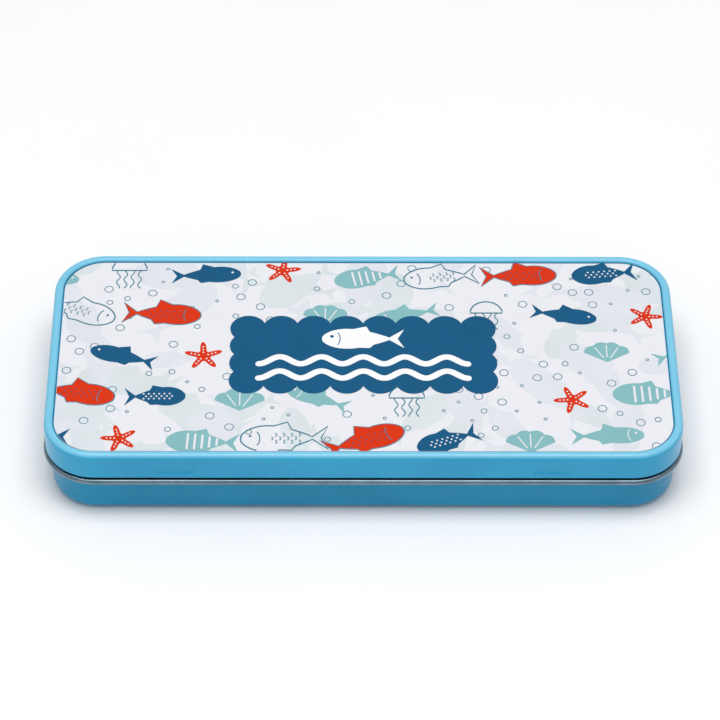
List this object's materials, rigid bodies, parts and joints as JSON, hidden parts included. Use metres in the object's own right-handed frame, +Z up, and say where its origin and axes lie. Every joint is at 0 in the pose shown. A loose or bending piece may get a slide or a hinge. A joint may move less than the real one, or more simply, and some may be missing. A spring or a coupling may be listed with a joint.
{
  "type": "pencil case",
  "caption": "Flat hinged tinplate pencil case with rounded corners, a raised-rim lid and a printed metal panel set in the lid.",
  "frame": {"origin": "centre of the closed case's flat underside, at the level it rests on", "axes": "+X to the right along the case's length seen from the front, +Y from the front towards the hinges at the back, +Z up out of the printed panel"},
  "size_m": [0.1912, 0.0889, 0.025],
  "materials": {
    "blue_enamel": "gloss enamel on tinplate, bare tin inside and on the bead",
    "printed_panel": "gloss dye-printed white coating on aluminium sheet",
    "panel_adhesive": "clear double-sided adhesive film",
    "hinge_wire": "bright drawn wire"
  },
  "bodies": {
    "base": {"base_tray": "blue_enamel", "left_hinge_pin": "hinge_wire", "right_hinge_pin": "hinge_wire"},
    "lid": {"lid_shell": "blue_enamel", "print_panel": "printed_panel", "panel_adhesive": "panel_adhesive"}
  },
  "joints": [
    {"name": "lid_hinge", "type": "hinge", "parent": "base", "child": "lid", "pos_m": [0, 0.04435, 0.0156], "axis": [-1, 0, 0], "range_deg": [0, 180]}
  ]
}
